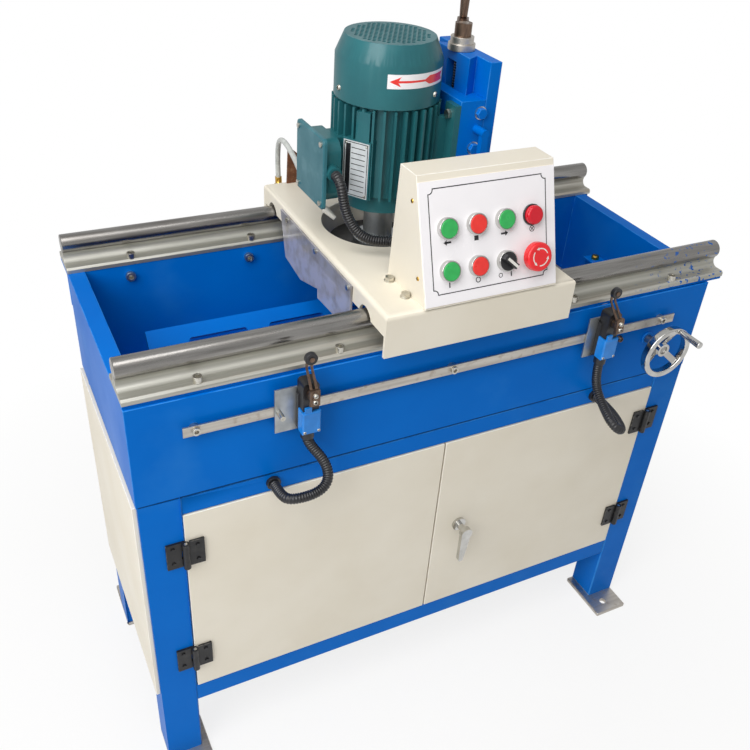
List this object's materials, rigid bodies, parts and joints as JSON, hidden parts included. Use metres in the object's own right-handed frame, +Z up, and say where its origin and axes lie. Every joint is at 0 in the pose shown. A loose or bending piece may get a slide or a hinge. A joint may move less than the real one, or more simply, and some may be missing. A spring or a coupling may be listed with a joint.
{
  "type": "straight knife grinder",
  "caption": "Floor-standing straight knife grinder: cup wheel on a motor head, carriage on round rails over a trough with a tilting knife bed, cabinet below.",
  "frame": {"origin": "On the floor, at the centre of the pattern of four anchor holes in the foot plates.", "axes": "+X runs along the rails to the operator's right, -Y is the front with the doors, +Z is up."},
  "size_m": [1.0395, 0.6895, 1.2243],
  "materials": {
    "blue_enamel": "gloss enamel",
    "cream_powder": "cream powder coat",
    "motor_enamel": "teal enamel on cast aluminium",
    "ground_steel": "ground and polished",
    "mill_aluminium": "mill finish",
    "zinc_steel": "zinc plated",
    "chrome": "polished chrome",
    "black_steel": "black",
    "machined_steel": "machined",
    "black_nylon": "moulded",
    "blue_plastic": "moulded",
    "clear_acrylic": "clear sheet",
    "clear_hose": "flexible hose",
    "green_button": "moulded",
    "red_button": "moulded",
    "panel_white": "white printed plate",
    "abrasive": "bonded abrasive",
    "grey_plastic": "moulded"
  },
  "bodies": {
    "base": {"frame": "blue_enamel", "cabinet_panels": "cream_powder", "trough": "blue_enamel", "rail_bearers": "blue_enamel", "travel_rack": "machined_steel", "rail_shafts": "ground_steel", "rail_supports": "mill_aluminium", "rail_screws": "zinc_steel", "limit_bar": "zinc_steel", "switch_bodies": "black_nylon", "switch_covers": "blue_plastic", "left_conduit": "black_nylon", "right_conduit": "black_nylon", "hinge_frame_leaves": "black_steel", "bed_supports": "blue_enamel", "coolant_unit": "grey_plastic", "electrics_plate": "grey_plastic"},
    "left_door": {"left_door": "cream_powder"},
    "right_door": {"right_door": "cream_powder"},
    "latch": {"door_latch": "chrome"},
    "bed": {"knife_bed": "blue_enamel", "bed_shaft": "ground_steel"},
    "worm": {"worm_shaft": "ground_steel", "handwheel": "chrome"},
    "handwheel_grip": {"handwheel_grip": "chrome"},
    "carriage": {"carriage_plate": "cream_powder", "bearing_blocks": "mill_aluminium", "carriage_bolts": "zinc_steel", "splash_guards": "clear_acrylic", "wheel_guard": "cream_powder", "control_box": "cream_powder", "control_panel": "panel_white", "button_bezels": "grey_plastic", "column": "blue_enamel", "coolant_hose": "clear_hose", "coolant_nozzle": "machined_steel", "travel_gearmotor": "grey_plastic"},
    "pinion": {"travel_pinion": "machined_steel"},
    "travel_left_button": {"travel_left_button": "green_button"},
    "travel_stop_button": {"travel_stop_button": "red_button"},
    "travel_right_button": {"travel_right_button": "green_button"},
    "wheel_start_button": {"wheel_start_button": "green_button"},
    "wheel_stop_button": {"wheel_stop_button": "red_button"},
    "selector": {"selector_knob": "black_nylon"},
    "estop": {"estop_button": "red_button"},
    "feed": {"feed_screw": "machined_steel", "feed_crank": "machined_steel"},
    "crank_grip": {"crank_grip": "machined_steel"},
    "head": {"slide_block": "blue_enamel", "motor_frame": "motor_enamel", "fan_cover": "motor_enamel", "terminal_box": "motor_enamel", "motor_conduit": "black_nylon"},
    "clamp": {"clamp_lever": "blue_enamel"},
    "spindle": {"spindle": "machined_steel", "grinding_wheel": "abrasive"},
    "left_limit": {"left_limit_lever": "machined_steel"},
    "right_limit": {"right_limit_lever": "machined_steel"},
    "left_roller": {"left_limit_roller": "black_nylon"},
    "right_roller": {"right_limit_roller": "black_nylon"}
  },
  "joints": [
    {"name": "left_door_swing", "type": "hinge", "parent": "base", "child": "left_door", "pos_m": [-0.439, -0.198, 0.386], "axis": [0, 0, -1], "range_deg": [0, 110]},
    {"name": "right_door_swing", "type": "hinge", "parent": "base", "child": "right_door", "pos_m": [0.439, -0.198, 0.386], "axis": [0, 0, 1], "range_deg": [0, 110]},
    {"name": "latch_turn", "type": "hinge", "parent": "right_door", "child": "latch", "pos_m": [0.05, -0.192, 0.3835], "axis": [0, -1, 0], "range_deg": [0, 90]},
    {"name": "bed_tilt", "type": "hinge", "parent": "base", "child": "bed", "pos_m": [0, 0.072, 0.666], "axis": [1, 0, 0], "range_deg": [-45, 35]},
    {"name": "worm_turn", "type": "hinge", "parent": "base", "child": "worm", "pos_m": [0.39, 0, 0.7], "axis": [0, 1, 0], "range_deg": [-1081, 841]},
    {"name": "handwheel_grip_spin", "type": "hinge", "parent": "worm", "child": "handwheel_grip", "pos_m": [0.40592, -0.27, 0.7394], "axis": [0, 1, 0], "continuous": true},
    {"name": "carriage_travel", "type": "slide", "parent": "base", "child": "carriage", "axis": [1, 0, 0], "range_m": [-0.101, 0.075]},
    {"name": "pinion_turn", "type": "hinge", "parent": "carriage", "child": "pinion", "pos_m": [0.015, 0.23, 0.718], "axis": [0, 1, 0], "range_deg": [-216, 290.5]},
    {"name": "head_feed", "type": "slide", "parent": "carriage", "child": "head", "axis": [0, 0, 1], "range_m": [-0.035, 0], "deforming": ["motor_conduit"]},
    {"name": "feed_turn", "type": "hinge", "parent": "carriage", "child": "feed", "pos_m": [0.102, 0.06, 1], "axis": [0, 0, 1], "range_deg": [-3151, 1]},
    {"name": "crank_grip_spin", "type": "hinge", "parent": "feed", "child": "crank_grip", "pos_m": [0.1178, 0.08897, 1.2], "axis": [0, 0, 1], "continuous": true},
    {"name": "clamp_turn", "type": "hinge", "parent": "head", "child": "clamp", "pos_m": [0.096, -0.017, 1.04], "axis": [0, 1, 0], "range_deg": [-45, 45]},
    {"name": "spindle_spin", "type": "hinge", "parent": "head", "child": "spindle", "pos_m": [-0.021, 0.06, 0.95], "axis": [0, 0, 1], "continuous": true},
    {"name": "left_limit_swing", "type": "hinge", "parent": "base", "child": "left_limit", "pos_m": [-0.256, -0.215, 0.776], "axis": [0, 1, 0], "range_deg": [-40, 0], "stiffness_Nm_per_rad": 0.25, "springref_deg": 20.05},
    {"name": "right_limit_swing", "type": "hinge", "parent": "base", "child": "right_limit", "pos_m": [0.27, -0.215, 0.776], "axis": [0, 1, 0], "range_deg": [0, 40], "stiffness_Nm_per_rad": 0.25, "springref_deg": -20.05},
    {"name": "left_roller_spin", "type": "hinge", "parent": "left_limit", "child": "left_roller", "pos_m": [-0.256, -0.2205, 0.8305], "axis": [0, 1, 0], "continuous": true},
    {"name": "right_roller_spin", "type": "hinge", "parent": "right_limit", "child": "right_roller", "pos_m": [0.26204, -0.2205, 0.82991], "axis": [0, 1, 0], "continuous": true},
    {"name": "travel_left_button_push", "type": "slide", "parent": "carriage", "child": "travel_left_button", "axis": [0, 0.947, -0.3211], "range_m": [0, 0.0035], "stiffness_N_per_m": 900, "springref_m": -0.002},
    {"name": "travel_stop_button_push", "type": "slide", "parent": "carriage", "child": "travel_stop_button", "axis": [0, 0.947, -0.3211], "range_m": [0, 0.0035], "stiffness_N_per_m": 900, "springref_m": -0.002},
    {"name": "travel_right_button_push", "type": "slide", "parent": "carriage", "child": "travel_right_button", "axis": [0, 0.947, -0.3211], "range_m": [0, 0.0035], "stiffness_N_per_m": 900, "springref_m": -0.002},
    {"name": "wheel_start_button_push", "type": "slide", "parent": "carriage", "child": "wheel_start_button", "axis": [0, 0.947, -0.3211], "range_m": [0, 0.0035], "stiffness_N_per_m": 900, "springref_m": -0.002},
    {"name": "wheel_stop_button_push", "type": "slide", "parent": "carriage", "child": "wheel_stop_button", "axis": [0, 0.947, -0.3211], "range_m": [0, 0.0035], "stiffness_N_per_m": 900, "springref_m": -0.002},
    {"name": "estop_push", "type": "slide", "parent": "carriage", "child": "estop", "axis": [0, 0.947, -0.3211], "range_m": [0, 0.004], "stiffness_N_per_m": 1200, "springref_m": -0.002},
    {"name": "selector_turn", "type": "hinge", "parent": "carriage", "child": "selector", "pos_m": [0.0469, -0.20594, 0.91735], "axis": [0, -0.947, 0.3211], "range_deg": [0, 90]}
  ],
  "couplings": [
    {"joint": "pinion_turn", "follows": "carriage_travel", "rad_per_m": -50},
    {"joint": "feed_turn", "follows": "head_feed", "rad_per_m": 1570.8},
    {"joint": "worm_turn", "follows": "bed_tilt", "ratio": 24}
  ]
}
